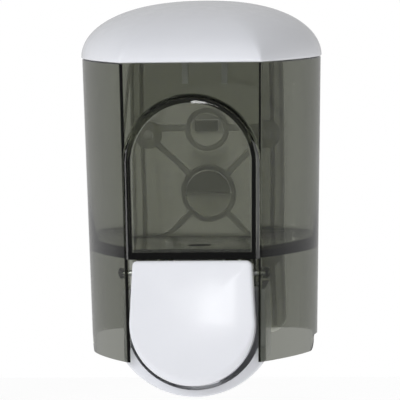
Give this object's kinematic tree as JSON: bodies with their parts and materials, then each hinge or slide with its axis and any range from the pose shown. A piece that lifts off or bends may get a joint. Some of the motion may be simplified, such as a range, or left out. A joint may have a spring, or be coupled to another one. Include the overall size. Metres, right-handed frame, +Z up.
{
  "type": "wall mounted soap dispenser",
  "caption": "Wall mounted push-lever soap dispenser: clear smoke-grey tank with an arched front, white domed lid, white lever and pump housing on a back plate.",
  "frame": {"origin": "on the back plate's wall face, on the pad between its slot ring and its hole ring", "axes": "+X to the viewer's right, +Y into the wall, +Z up"},
  "size_m": [0.1262, 0.1171, 0.2009],
  "materials": {
    "smoke_plastic": "clear, glossy, smoke grey",
    "white_abs": "glossy white moulding",
    "natural_plastic": "satin natural moulding",
    "steel": "drawn stainless steel",
    "rubber": "matt black",
    "silicone": "translucent silicone"
  },
  "bodies": {
    "wall_unit": {"back_plate": "white_abs", "tank": "smoke_plastic", "hinge_rod": "steel", "lower_housing": "white_abs", "pump_body": "natural_plastic", "outlet_gasket": "rubber", "inlet_valve": "silicone", "cylinder_bush": "natural_plastic", "return_spring": "steel", "outlet_valve": "silicone", "nozzle": "white_abs", "pump_screw_left": "steel", "pump_screw_right": "steel", "housing_screw_1": "steel", "housing_screw_2": "steel", "housing_screw_3": "steel", "housing_screw_4": "steel"},
    "lid": {"lid": "white_abs"},
    "lever": {"push_lever": "white_abs"},
    "plunger": {"plunger": "natural_plastic", "piston_seal": "rubber"}
  },
  "joints": [
    {"name": "lever_swing", "type": "hinge", "parent": "wall_unit", "child": "lever", "pos_m": [0, -0.0955, -0.0516], "axis": [1, 0, 0], "range_deg": [0, 12], "stiffness_Nm_per_rad": 0.5, "springref_deg": -9.74},
    {"name": "plunger_stroke", "type": "slide", "parent": "wall_unit", "child": "plunger", "axis": [0, 1, 0], "range_m": [0, 0.0062], "deforming": ["return_spring"]},
    {"name": "lid_lift", "type": "slide", "parent": "wall_unit", "child": "lid", "axis": [0, 0, 1], "range_m": [0, 0.045]}
  ],
  "couplings": [
    {"joint": "plunger_stroke", "follows": "lever_swing", "m_per_rad": 0.029}
  ]
}
